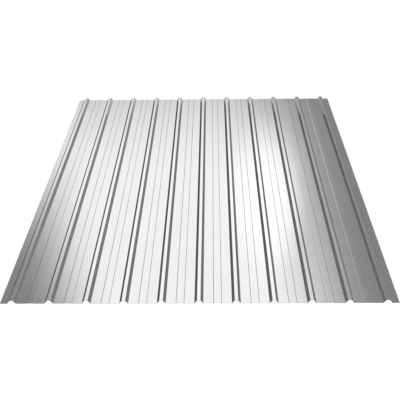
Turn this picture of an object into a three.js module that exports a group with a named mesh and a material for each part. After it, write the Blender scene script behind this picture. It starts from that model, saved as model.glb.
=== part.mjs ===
// A trapezoidal profiled steel sheet: one strip of thin steel, roll-formed along its length.
// Units are millimetres. +X runs across the ribs, +Y along them and +Z up.
// The origin is under the middle of the sheet, on the surface that it lies on.
import * as THREE from 'three';

// Plan of the sheet
const RIB_COUNT = 11;
const RIB_PITCH = 100;
const EDGE_MARGIN = 31; // from the centre of an outer rib to the cut side edge
const SHEET_LENGTH = 1350;
const SHEET_THICKNESS = 0.5;

// Rib, measured on the middle line of the steel
const RIB_BASE_WIDTH = 23.3;
const RIB_TOP_WIDTH = 9.3;
const RIB_HEIGHT = 10;
const RIB_BEND_RADIUS = 0.6;
const RIB_BEND_STEPS = 4;

// Stiffening swage: a low flat step in the middle of each pan
const SWAGE_FOOT_WIDTH = 22.6;
const SWAGE_TOP_WIDTH = 20;
const SWAGE_HEIGHT = 0.58;
const SWAGE_BEND_RADIUS = 1;
const SWAGE_BEND_STEPS = 2;

// Bright zinc coat
const ZINC_LOOK = { color: 0xcacaca, roughness: 0.34, metalness: 0.9 };

const HALF_THICKNESS = SHEET_THICKNESS / 2;
const HALF_SPAN = ((RIB_COUNT - 1) * RIB_PITCH) / 2;
const HALF_WIDTH = HALF_SPAN + EDGE_MARGIN;

// Four bends that lift the strip from the pan level to a flat top and bring it down again.
function raisedFold(centre, footWidth, topWidth, height, radius, steps) {
  const corner = (x, z) => ({ point: new THREE.Vector2(x, z), radius, steps });
  return [
    corner(centre - footWidth / 2, 0),
    corner(centre - topWidth / 2, height),
    corner(centre + topWidth / 2, height),
    corner(centre + footWidth / 2, 0),
  ];
}

function rib(centre) {
  return raisedFold(
    centre, RIB_BASE_WIDTH, RIB_TOP_WIDTH, RIB_HEIGHT, RIB_BEND_RADIUS, RIB_BEND_STEPS,
  );
}

function swage(centre) {
  return raisedFold(
    centre, SWAGE_FOOT_WIDTH, SWAGE_TOP_WIDTH, SWAGE_HEIGHT, SWAGE_BEND_RADIUS, SWAGE_BEND_STEPS,
  );
}

// Sharp corners of the middle line, from the left edge to the right edge.
function foldCorners() {
  const corners = [];
  for (let i = 0; i < RIB_COUNT; i += 1) {
    const centre = i * RIB_PITCH - HALF_SPAN;
    corners.push(...rib(centre));
    if (i < RIB_COUNT - 1) {
      corners.push(...swage(centre + RIB_PITCH / 2));
    }
  }
  return corners;
}

// Stations round one bend: each has its point on the middle line and the normal there.
function bendStations(before, corner, after) {
  const arriving = corner.point.clone().sub(before).normalize();
  const leaving = after.clone().sub(corner.point).normalize();
  const turn = Math.atan2(arriving.cross(leaving), arriving.dot(leaving));
  const setback = corner.radius * Math.tan(Math.abs(turn) / 2);
  const start = corner.point.clone().addScaledVector(arriving, -setback);
  const startNormal = new THREE.Vector2(-arriving.y, arriving.x);
  const bendCentre = start.clone().addScaledVector(startNormal, Math.sign(turn) * corner.radius);
  const origin = new THREE.Vector2();
  const stations = [];
  for (let k = 0; k <= corner.steps; k += 1) {
    const angle = (turn * k) / corner.steps;
    stations.push({
      point: start.clone().rotateAround(bendCentre, angle),
      normal: startNormal.clone().rotateAround(origin, angle),
    });
  }
  return stations;
}

// The whole middle line, with its bends rounded.
function middleLine() {
  const leftEdge = new THREE.Vector2(-HALF_WIDTH, 0);
  const rightEdge = new THREE.Vector2(HALF_WIDTH, 0);
  const up = new THREE.Vector2(0, 1);
  const corners = foldCorners();
  const stations = [{ point: leftEdge, normal: up }];
  corners.forEach((corner, i) => {
    const before = i > 0 ? corners[i - 1].point : leftEdge;
    const after = i < corners.length - 1 ? corners[i + 1].point : rightEdge;
    stations.push(...bendStations(before, corner, after));
  });
  stations.push({ point: rightEdge, normal: up });
  return stations;
}

// Cross-section: the underside from left to right, then the top side back again.
function sectionShape() {
  const stations = middleLine();
  const offset = (side) => stations.map(({ point, normal }) => (
    point.clone().addScaledVector(normal, side * HALF_THICKNESS)
  ));
  return new THREE.Shape([...offset(-1), ...offset(1).reverse()]);
}

function profiledSheet() {
  const geometry = new THREE.ExtrudeGeometry(sectionShape(), {
    depth: SHEET_LENGTH,
    bevelEnabled: false,
  });
  geometry.rotateX(Math.PI / 2);
  const mesh = new THREE.Mesh(geometry, new THREE.MeshStandardMaterial(ZINC_LOOK));
  mesh.name = 'profiled_sheet';
  mesh.position.set(0, SHEET_LENGTH / 2, HALF_THICKNESS);
  return mesh;
}

const model = new THREE.Group();
model.add(profiledSheet());

export default model;
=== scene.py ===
"""A bright zinc-coated trapezoidal steel sheet, lying flat on a white studio floor.

Metres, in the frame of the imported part: +X across the ribs, +Y along them, +Z up.
"""

import math

import bpy
from mathutils import Matrix, Vector


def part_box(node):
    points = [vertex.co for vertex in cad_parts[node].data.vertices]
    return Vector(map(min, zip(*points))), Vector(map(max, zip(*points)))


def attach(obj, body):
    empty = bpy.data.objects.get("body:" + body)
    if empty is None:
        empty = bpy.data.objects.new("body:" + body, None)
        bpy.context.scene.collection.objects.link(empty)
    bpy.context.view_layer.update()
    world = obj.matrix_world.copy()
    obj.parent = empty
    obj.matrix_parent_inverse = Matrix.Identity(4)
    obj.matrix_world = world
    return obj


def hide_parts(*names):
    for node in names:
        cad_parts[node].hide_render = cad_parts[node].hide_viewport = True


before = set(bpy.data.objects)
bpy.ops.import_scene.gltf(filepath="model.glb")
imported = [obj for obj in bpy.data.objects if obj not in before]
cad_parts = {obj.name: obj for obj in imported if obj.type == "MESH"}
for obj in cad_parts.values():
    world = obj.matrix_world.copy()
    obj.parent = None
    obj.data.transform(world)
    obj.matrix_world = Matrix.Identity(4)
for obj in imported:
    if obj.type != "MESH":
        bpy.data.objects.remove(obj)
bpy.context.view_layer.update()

MM = 0.001

# Plan and thickness of the sheet
RIB_COUNT = 11
RIB_PITCH = 100 * MM
EDGE_MARGIN = 31 * MM  # from the centre of an outer rib to the cut side edge
THICKNESS = 0.5 * MM

# Rib, measured on the middle line of the steel
RIB_FOOT = 23.3 * MM
RIB_TOP = 9.3 * MM
RIB_HEIGHT = 10.0 * MM
RIB_BEND_RADIUS = 0.6 * MM
RIB_BEND_STEPS = 8

# Stiffening swage: a low flat step in the middle of each pan
SWAGE_FOOT = 22.6 * MM
SWAGE_TOP = 20.0 * MM
SWAGE_HEIGHT = 0.58 * MM
SWAGE_BEND_RADIUS = 1.0 * MM
SWAGE_BEND_STEPS = 4

# Rows of faces along the sheet, and the material slot of its cut edges
LENGTH_ROWS = 28
CUT_EDGE_SLOT = 1


# ---------------------------------------------------------------- the sheet

def raised_fold(centre, foot, top, height, radius, steps):
    """Four corners that lift the strip to a flat top and bring it down again."""
    places = (
        (centre - foot / 2, 0.0),
        (centre - top / 2, height),
        (centre + top / 2, height),
        (centre + foot / 2, 0.0),
    )
    return [(Vector(place), radius, steps) for place in places]


def rib(centre):
    """Corners of one rib."""
    return raised_fold(centre, RIB_FOOT, RIB_TOP, RIB_HEIGHT, RIB_BEND_RADIUS, RIB_BEND_STEPS)


def swage(centre):
    """Corners of the low step in one pan."""
    return raised_fold(
        centre, SWAGE_FOOT, SWAGE_TOP, SWAGE_HEIGHT, SWAGE_BEND_RADIUS, SWAGE_BEND_STEPS
    )


def fold_corners():
    """Sharp corners of the middle line from the left edge to the right edge."""
    half_span = (RIB_COUNT - 1) * RIB_PITCH / 2
    corners = []
    for i in range(RIB_COUNT):
        centre = i * RIB_PITCH - half_span
        corners += rib(centre)
        if i < RIB_COUNT - 1:
            corners += swage(centre + RIB_PITCH / 2)
    return corners


def bend_stations(before, corner, after):
    """Points and normals round one bend."""
    point, radius, steps = corner
    arriving = (point - before).normalized()
    leaving = (after - point).normalized()
    turn = math.atan2(arriving.cross(leaving), arriving.dot(leaving))
    start = point - arriving * radius * math.tan(abs(turn) / 2)
    start_normal = Vector((-arriving.y, arriving.x))
    centre = start + start_normal * math.copysign(radius, turn)
    stations = []
    for k in range(steps + 1):
        spin = Matrix.Rotation(turn * k / steps, 2)
        stations.append((centre + spin @ (start - centre), spin @ start_normal))
    return stations


def section_stations():
    """The rounded middle line as (point, normal) pairs, with the point as (x, z)."""
    half_width = (RIB_COUNT - 1) * RIB_PITCH / 2 + EDGE_MARGIN
    left = Vector((-half_width, 0.0))
    right = Vector((half_width, 0.0))
    up = Vector((0.0, 1.0))
    corners = fold_corners()
    points = [left] + [corner[0] for corner in corners] + [right]
    stations = [(left, up)]
    for i, corner in enumerate(corners):
        stations += bend_stations(points[i], corner, points[i + 2])
    stations.append((right, up))
    return stations


def build_sheet():
    """One closed skin: both faces of the strip, its two side edges and its two cut ends."""
    stations = section_stations()
    low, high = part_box("profiled_sheet")
    rows = [low.y + (high.y - low.y) * j / LENGTH_ROWS for j in range(LENGTH_ROWS + 1)]
    across = len(stations)
    loop = [(p + n * THICKNESS / 2, n) for p, n in stations]
    loop += [(p - n * THICKNESS / 2, -n) for p, n in reversed(stations)]
    around = len(loop)
    vertices = [(p.x, y, p.y + THICKNESS / 2) for y in rows for p, _ in loop]
    skin_normals = [Vector((n.x, 0.0, n.y)) for _, n in loop]
    side_normals = {across - 1: Vector((1.0, 0.0, 0.0)), around - 1: Vector((-1.0, 0.0, 0.0))}

    faces = []
    normals = []
    edge_faces = []
    for j in range(LENGTH_ROWS):
        near = j * around
        far = near + around
        for i in range(around):
            k = (i + 1) % around
            side = side_normals.get(i)
            if side:
                edge_faces.append(len(faces))
            faces.append((near + i, near + k, far + k, far + i))
            here = side or skin_normals[i]
            there = side or skin_normals[k]
            normals += [here, there, there, here]

    last = LENGTH_ROWS * around
    front = Vector((0.0, -1.0, 0.0))
    back = Vector((0.0, 1.0, 0.0))
    for i in range(across - 1):
        under = around - 1 - i
        next_under = under - 1
        edge_faces += [len(faces), len(faces) + 1]
        faces.append((i, under, next_under, i + 1))
        faces.append((last + i, last + i + 1, last + next_under, last + under))
        normals += [front] * 4 + [back] * 4

    mesh = bpy.data.meshes.new("rolled_sheet")
    mesh.from_pydata(vertices, [], faces)
    for index in edge_faces:
        mesh.polygons[index].material_index = CUT_EDGE_SLOT
    mesh.normals_split_custom_set(normals)
    lean = mesh.attributes.new("lean", "FLOAT", "POINT")
    lean.data.foreach_set("value", [abs(n.x) for n in skin_normals] * len(rows))
    mesh.update()
    sheet = bpy.data.objects.new("rolled_sheet", mesh)
    bpy.context.collection.objects.link(sheet)
    return sheet


# ------------------------------------------------------------ node building

# Sockets of the Mix node: factor, A and B going in, and the result
NUMBER_MIX = (0, 2, 3, 0)
COLOUR_MIX = (0, 6, 7, 2)


class Graph:
    """Small helper that adds shader nodes and links them."""

    def __init__(self, tree):
        self.tree = tree
        tree.nodes.clear()

    def node(self, kind, **settings):
        """A new node with the given settings."""
        made = self.tree.nodes.new(kind)
        for name, value in settings.items():
            setattr(made, name, value)
        return made

    def feed(self, value, socket):
        """Links a socket to another node's output, or sets its constant."""
        if isinstance(value, bpy.types.NodeSocket):
            self.tree.links.new(value, socket)
        else:
            socket.default_value = value

    def math(self, operation, a, b=0.0):
        """One step of arithmetic."""
        made = self.node("ShaderNodeMath", operation=operation)
        self.feed(a, made.inputs[0])
        self.feed(b, made.inputs[1])
        return made.outputs[0]

    def line(self, value, at_zero, per_unit):
        """Straight change: at_zero where the value is 0, and per_unit more for each unit of it."""
        return self.math("ADD", self.math("MULTIPLY", value, per_unit), at_zero)

    def weighted(self, *shares):
        """Sum of (value, weight) pairs."""
        total = None
        for value, weight in shares:
            share = self.math("MULTIPLY", value, weight)
            total = share if total is None else self.math("ADD", total, share)
        return total

    def step(self, value, start, end, low=0.0, high=1.0):
        """Smooth change from low at start to high at end."""
        made = self.node("ShaderNodeMapRange", interpolation_type="SMOOTHSTEP")
        self.feed(value, made.inputs["Value"])
        self.feed(start, made.inputs["From Min"])
        self.feed(end, made.inputs["From Max"])
        self.feed(low, made.inputs["To Min"])
        self.feed(high, made.inputs["To Max"])
        return made.outputs["Result"]

    def mix(self, factor, a, b, data_type="FLOAT", sockets=NUMBER_MIX):
        """From a, where the factor is 0, to b, where it is 1."""
        made = self.node("ShaderNodeMix", data_type=data_type)
        *going_in, result = sockets
        for value, socket in zip((factor, a, b), going_in):
            self.feed(value, made.inputs[socket])
        return made.outputs[result]

    def blend(self, factor, a, b):
        """The same for two colours."""
        return self.mix(factor, a, b, "RGBA", COLOUR_MIX)

    def split(self, vector):
        """The three numbers of a vector or colour."""
        made = self.node("ShaderNodeSeparateXYZ")
        self.feed(vector, made.inputs[0])
        return made.outputs

    def noise(self, where, stretch, detail):
        """Noise with a stretch for each axis: about that many patches to a metre."""
        mapping = self.node("ShaderNodeMapping")
        self.feed(where, mapping.inputs["Vector"])
        self.feed(stretch, mapping.inputs["Scale"])
        made = self.node("ShaderNodeTexNoise")
        self.feed(mapping.outputs["Vector"], made.inputs["Vector"])
        self.feed(1.0, made.inputs["Scale"])
        self.feed(detail, made.inputs["Detail"])
        return made.outputs["Fac"]

    def crystals(self, where, per_metre, warp):
        """A value from 0 to 1 for each irregular crystal."""
        sway = self.node("ShaderNodeTexNoise")
        self.feed(where, sway.inputs["Vector"])
        self.feed(per_metre, sway.inputs["Scale"])
        bent = self.node("ShaderNodeVectorMath", operation="MULTIPLY_ADD")
        self.feed(sway.outputs["Color"], bent.inputs[0])
        self.feed((warp / per_metre,) * 3, bent.inputs[1])
        self.feed(where, bent.inputs[2])
        cells = self.node("ShaderNodeTexVoronoi")
        self.feed(bent.outputs[0], cells.inputs["Vector"])
        self.feed(per_metre, cells.inputs["Scale"])
        return self.split(cells.outputs["Color"])[0]


def new_material(name):
    """A node material, and the graph to fill it with."""
    material = bpy.data.materials.new(name)
    material.use_nodes = True
    return material, Graph(material.node_tree)


def finish_surface(graph, shader):
    """Ends a material's graph in the given shader."""
    out = graph.node("ShaderNodeOutputMaterial")
    graph.feed(shader, out.inputs["Surface"])


# ---------------------------------------------------------------- materials

# Zinc coat: crystals a few millimetres across, fine lines drawn along the ribs by the rolls,
# and wider soft bands and clouds
SPANGLE_PER_M = 210.0
SPANGLE_WARP = 0.35
ROLL_LINE_STRETCH = (1100.0, 4.0, 1100.0)
ROLL_LINE_DETAIL = 3.0
BAND_STRETCH = (60.0, 1.2, 60.0)
BAND_DETAIL = 2.0
CLOUD_STRETCH = (14.0, 9.0, 14.0)
CLOUD_DETAIL = 4.0
GRAIN_STRETCH = (1500.0, 1500.0, 1500.0)
GRAIN_DETAIL = 2.0
TONE_SHARE = 0.25
TONE_LIMITS = (0.3, 0.7)
ZINC_DARK = (0.775, 0.776, 0.779, 1.0)
ZINC_LIGHT = (0.82, 0.82, 0.819, 1.0)
ZINC_ROUGHNESS = (0.085, 0.115)

# Its relief
RELIEF_DEPTH = 0.012 * MM
RELIEF_STRENGTH = 0.6
RELIEF_OF_LINES = 0.65
RELIEF_OF_SPANGLE = 0.25
RELIEF_OF_GRAIN = 0.1

# What leans is painted darker, as painted shade, and made duller by the rolls' rubbing:
# the rib walls fully, and the small slopes of the swages partly
RUB_AND_SHADE_LEAN = (0.3, 0.6)
LEAN_PAINTED_SHADE = 0.63
RUBBED_ROUGHNESS = 0.1

# Painted highlight on the rib tops: their colour is lighter, broken into streaks
RIB_TOP_HIGHLIGHT_HEIGHT = (10.2 * MM, 10.45 * MM)
RIB_TOP_HIGHLIGHT_STREAKS = (0.3, 0.6)
RIB_TOP_HIGHLIGHT_GAIN = 1.07

# Cut edges: sheared steel with fine marks across the thickness
SHEAR_MARK_STRETCH = (2500.0, 2500.0, 120.0)
SHEAR_MARK_DETAIL = 2.0
SHEARED_COLOUR_LIMITS = (0.35, 0.65)
SHEARED_DARK = (0.08, 0.08, 0.08, 1.0)
SHEARED_LIGHT = (0.17, 0.17, 0.168, 1.0)
SHEARED_ROUGHNESS_LIMITS = (0.3, 0.7)
SHEARED_ROUGHNESS = (0.35, 0.55)


def zinc_material():
    """Smooth bright zinc coat: faint crystals, with fine lines drawn along the ribs by the rolls."""
    material, g = new_material("zinc_coat")
    where = g.node("ShaderNodeTexCoord").outputs["Object"]
    roll_lines = g.noise(where, ROLL_LINE_STRETCH, ROLL_LINE_DETAIL)
    bands = g.noise(where, BAND_STRETCH, BAND_DETAIL)
    clouds = g.noise(where, CLOUD_STRETCH, CLOUD_DETAIL)
    grain = g.noise(where, GRAIN_STRETCH, GRAIN_DETAIL)
    spangle = g.crystals(where, SPANGLE_PER_M, SPANGLE_WARP)
    tone = g.weighted(*((part, TONE_SHARE) for part in (roll_lines, bands, clouds, spangle)))

    lean = g.node("ShaderNodeAttribute", attribute_name="lean").outputs["Fac"]
    # Painted shade: faces that lean are darker in colour; the same mask also makes them duller
    rub_and_painted_shade = g.step(lean, *RUB_AND_SHADE_LEAN)
    # Painted highlight: the rib tops are lighter in colour, in streaks
    on_rib_top = g.step(g.split(where)["Z"], *RIB_TOP_HIGHLIGHT_HEIGHT)
    painted_highlight = g.math("MULTIPLY", on_rib_top, g.step(roll_lines, *RIB_TOP_HIGHLIGHT_STREAKS))

    # Scale on the colour: painted shade on leaning faces, painted highlight on the rib tops
    painted_light_scale = g.mix(rub_and_painted_shade, g.mix(painted_highlight, 1.0, RIB_TOP_HIGHLIGHT_GAIN), LEAN_PAINTED_SHADE)
    colour = g.node("ShaderNodeVectorMath", operation="SCALE")
    g.feed(g.blend(g.step(tone, *TONE_LIMITS), ZINC_DARK, ZINC_LIGHT), colour.inputs[0])
    g.feed(painted_light_scale, colour.inputs["Scale"])
    smooth = g.step(tone, *TONE_LIMITS, *ZINC_ROUGHNESS)
    roughness = g.math("ADD", smooth, g.math("MULTIPLY", rub_and_painted_shade, RUBBED_ROUGHNESS))

    relief = g.weighted(
        (roll_lines, RELIEF_OF_LINES), (spangle, RELIEF_OF_SPANGLE), (grain, RELIEF_OF_GRAIN)
    )
    bump = g.node("ShaderNodeBump")
    g.feed(RELIEF_STRENGTH, bump.inputs["Strength"])
    g.feed(RELIEF_DEPTH, bump.inputs["Distance"])
    g.feed(relief, bump.inputs["Height"])

    surface = g.node("ShaderNodeBsdfPrincipled")
    g.feed(colour.outputs[0], surface.inputs["Base Color"])
    g.feed(1.0, surface.inputs["Metallic"])
    g.feed(roughness, surface.inputs["Roughness"])
    g.feed(bump.outputs["Normal"], surface.inputs["Normal"])
    finish_surface(g, surface.outputs["BSDF"])
    return material


def cut_edge_material():
    """Sheared steel: darker and duller than the coat."""
    material, g = new_material("sheared_edge")
    where = g.node("ShaderNodeTexCoord").outputs["Object"]
    marks = g.noise(where, SHEAR_MARK_STRETCH, SHEAR_MARK_DETAIL)
    colour = g.blend(g.step(marks, *SHEARED_COLOUR_LIMITS), SHEARED_DARK, SHEARED_LIGHT)
    surface = g.node("ShaderNodeBsdfPrincipled")
    g.feed(colour, surface.inputs["Base Color"])
    g.feed(1.0, surface.inputs["Metallic"])
    roughness = g.step(marks, *SHEARED_ROUGHNESS_LIMITS, *SHEARED_ROUGHNESS)
    g.feed(roughness, surface.inputs["Roughness"])
    finish_surface(g, surface.outputs["BSDF"])
    return material


# ------------------------------------------------------------------- studio

# Floor: its matt colour, and the light added to it where it is seen and where it is mirrored
FLOOR_HALF = 200.0
FLOOR_COLOUR = (0.22, 0.22, 0.22, 1.0)
SEEN_LIFT = 0.88
MIRRORED_LIFT = 0.65


def build_floor():
    """Floor that is lit and shadowed as any matt floor, then lifted: to white where the camera
    sees it, and nearly to white where metal or glass shows it."""
    mesh = bpy.data.meshes.new("studio_floor")
    signs = ((-1, -1), (1, -1), (1, 1), (-1, 1))
    mesh.from_pydata([(x * FLOOR_HALF, y * FLOOR_HALF, 0.0) for x, y in signs], [], [(0, 1, 2, 3)])
    floor = bpy.data.objects.new("studio_floor", mesh)
    bpy.context.collection.objects.link(floor)

    material, g = new_material("studio_floor")
    diffuse = g.node("ShaderNodeBsdfDiffuse")
    g.feed(FLOOR_COLOUR, diffuse.inputs["Color"])
    path = g.node("ShaderNodeLightPath").outputs
    mirrored = g.math("MAXIMUM", path["Is Glossy Ray"], path["Is Transmission Ray"])
    lift = g.weighted((path["Is Camera Ray"], SEEN_LIFT), (mirrored, MIRRORED_LIFT))
    glow = g.node("ShaderNodeEmission")
    g.feed(lift, glow.inputs["Strength"])
    both = g.node("ShaderNodeAddShader")
    g.feed(diffuse.outputs[0], both.inputs[0])
    g.feed(glow.outputs[0], both.inputs[1])
    finish_surface(g, both.outputs[0])
    mesh.materials.append(material)


# The room's soft light, as brightness by direction. Azimuth is 0 along the ribs, both ahead and
# behind, and grows towards +X. Elevation is 0 at the horizon. All angles are in degrees.

# Grey sides at the height of the panel: beside it, and further out
LEFT_LIGHT = 0.28
RIGHT_LIGHT = 0.25
SIDES_MEET_DEG = (-25.0, 25.0)
SIDE_LEFT_LIGHT = 0.14
SIDE_LEFT_DEG = (-27.0, -20.0)
SIDE_RIGHT_LIGHT = 0.34
SIDE_RIGHT_DEG = (19.0, 27.0)

# Low sides, under the panel: the left one changes with azimuth, the right one with elevation
LOW_LEFT_LIGHT = (0.15, 0.07)
LOW_LEFT_DEG = (-38.0, -24.0)
LOW_RIGHT_LIGHT = (0.38, 0.28)
LOW_RIGHT_RISE_DEG = (2.0, 8.0)
LOW_SIDES_MEET_DEG = (-20.0, 20.0)
LOW_SIDES_TOP_DEG = (16.0, 26.0)

# Paler walls across the ribs, a white ceiling, and a white strip that continues the floor
SURROUND_LIGHT = (0.55, 0.92)
SURROUND_RISE_DEG = (2.0, 38.0)
SURROUND_DEG = (38.0, 50.0)
CEILING_LIGHT = 0.98
CEILING_EDGE_DEG = (46.0, 62.0)
HORIZON_LIGHT = 1.0
HORIZON_DEG = (0.95, 1.3)

# Lamp: an oval, full within a share of its size, that leans to the side as it rises
LAMP_LIGHT = 1.32
LAMP_AZIMUTH_DEG = 5.1
LAMP_ELEVATION_DEG = 31.6
LAMP_HALF_WIDTH_DEG = 4.2
LAMP_HALF_HEIGHT_DEG = 7.7
LAMP_LEAN = -0.07
LAMP_FULL = 0.37

# Panel round the lamp. Its left edge is an azimuth that leans with height. Its right edge is a
# ratio of x to z, given at the lamp's height with its change for each degree above that.
PANEL_LIGHT = 1.1
PANEL_FADE_PER_DEG = -0.0006
PANEL_LEFT_DEG = (-19.5, -11.3)
PANEL_LEFT_LEAN = -0.09
PANEL_RIGHT_DARK = (0.405, -0.004)
PANEL_RIGHT_FULL = (0.05, 0.0097)
PANEL_FOOT_DEG = (14.0, 29.4)
LEAST_Z = 0.02  # keeps that ratio finite at the horizon


def side_light(g, azimuth, elevation):
    """The grey sides, low and high."""
    high = g.step(azimuth, *SIDES_MEET_DEG, LEFT_LIGHT, RIGHT_LIGHT)
    high = g.mix(g.step(azimuth, *SIDE_LEFT_DEG), SIDE_LEFT_LIGHT, high)
    high = g.mix(g.step(azimuth, *SIDE_RIGHT_DEG), high, SIDE_RIGHT_LIGHT)
    low_left = g.step(azimuth, *LOW_LEFT_DEG, *LOW_LEFT_LIGHT)
    low_right = g.step(elevation, *LOW_RIGHT_RISE_DEG, *LOW_RIGHT_LIGHT)
    low = g.mix(g.step(azimuth, *LOW_SIDES_MEET_DEG), low_left, low_right)
    return g.mix(g.step(elevation, *LOW_SIDES_TOP_DEG), low, high)


def panel_cover(g, azimuth, elevation, rise, x, z):
    """1 inside the panel and 0 outside it, with soft edges."""
    ratio = g.math("DIVIDE", x, g.math("MAXIMUM", z, LEAST_Z))
    left = g.step(g.weighted((azimuth, 1.0), (rise, PANEL_LEFT_LEAN)), *PANEL_LEFT_DEG)
    right = g.step(ratio, g.line(rise, *PANEL_RIGHT_DARK), g.line(rise, *PANEL_RIGHT_FULL))
    foot = g.step(elevation, *PANEL_FOOT_DEG)
    return g.math("MULTIPLY", g.math("MULTIPLY", left, right), foot)


def lamp_cover(g, azimuth, rise):
    """1 inside the lamp and 0 outside it, with a soft edge."""
    leant = g.weighted((azimuth, 1.0), (rise, LAMP_LEAN))
    sideways = g.math("DIVIDE", g.math("SUBTRACT", leant, LAMP_AZIMUTH_DEG), LAMP_HALF_WIDTH_DEG)
    upwards = g.math("DIVIDE", rise, LAMP_HALF_HEIGHT_DEG)
    square = g.math("ADD", g.math("MULTIPLY", sideways, sideways), g.math("MULTIPLY", upwards, upwards))
    return g.step(g.math("SQRT", square), LAMP_FULL, 1.0, 1.0, 0.0)


def build_light():
    """A pale room. Beyond each end of the sheet stands a wide soft panel with a lamp in it,
    between grey sides."""
    world = bpy.data.worlds.new("studio")
    bpy.context.scene.world = world
    world.use_nodes = True
    g = Graph(world.node_tree)
    x, y, z = g.split(g.node("ShaderNodeTexCoord").outputs["Generated"])
    azimuth = g.math("DEGREES", g.math("ARCTAN2", x, g.math("ABSOLUTE", y)))
    elevation = g.math("DEGREES", g.math("ARCSINE", z))
    rise = g.math("SUBTRACT", elevation, LAMP_ELEVATION_DEG)

    panel_light = g.line(azimuth, PANEL_LIGHT, PANEL_LIGHT * PANEL_FADE_PER_DEG)
    surround = g.step(elevation, *SURROUND_RISE_DEG, *SURROUND_LIGHT)
    light = side_light(g, azimuth, elevation)
    light = g.mix(panel_cover(g, azimuth, elevation, rise, x, z), light, panel_light)
    light = g.mix(lamp_cover(g, azimuth, rise), light, LAMP_LIGHT)
    light = g.mix(g.step(g.math("ABSOLUTE", azimuth), *SURROUND_DEG), light, surround)
    light = g.mix(g.step(elevation, *CEILING_EDGE_DEG), light, CEILING_LIGHT)
    light = g.mix(g.step(elevation, *HORIZON_DEG), HORIZON_LIGHT, light)

    background = g.node("ShaderNodeBackground")
    g.feed((1.0, 1.0, 1.0, 1.0), background.inputs["Color"])
    g.feed(light, background.inputs["Strength"])
    out = g.node("ShaderNodeOutputWorld")
    g.feed(background.outputs[0], out.inputs["Surface"])


# Camera before the front edge, looking down along the ribs at the photograph's viewing angle
CAMERA_PLACE = Vector((0.0382, -2.1186, 1.2071))
CAMERA_YAW = math.radians(-1.215)
CAMERA_DOWN_TILT = math.radians(31.518)
CAMERA_ROLL = math.radians(0.918)
SENSOR_WIDTH_MM = 36.0
FOCAL_LENGTH_MM = 63.14


def build_camera():
    """Camera turned by its yaw from +Y towards +X, then tilted down, then rolled."""
    data = bpy.data.cameras.new("camera")
    data.sensor_width = SENSOR_WIDTH_MM
    data.lens = FOCAL_LENGTH_MM
    camera = bpy.data.objects.new("camera", data)
    bpy.context.collection.objects.link(camera)
    level_ahead = Vector((math.sin(CAMERA_YAW), math.cos(CAMERA_YAW), 0.0))
    ahead = level_ahead * math.cos(CAMERA_DOWN_TILT)
    ahead.z = -math.sin(CAMERA_DOWN_TILT)
    level = Vector((math.cos(CAMERA_YAW), -math.sin(CAMERA_YAW), 0.0))
    right = level * math.cos(CAMERA_ROLL) + ahead.cross(level) * math.sin(CAMERA_ROLL)
    up = right.cross(ahead)
    turn = Matrix((right, up, -ahead)).transposed()
    camera.matrix_world = Matrix.Translation(CAMERA_PLACE) @ turn.to_4x4()
    bpy.context.scene.camera = camera


# ------------------------------------------------------------------ assembly

sheet = build_sheet()
sheet.data.materials.append(zinc_material())
sheet.data.materials.append(cut_edge_material())
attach(sheet, "root")
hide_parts("profiled_sheet")

build_floor()
build_light()
build_camera()
bpy.context.scene.view_settings.view_transform = "Standard"
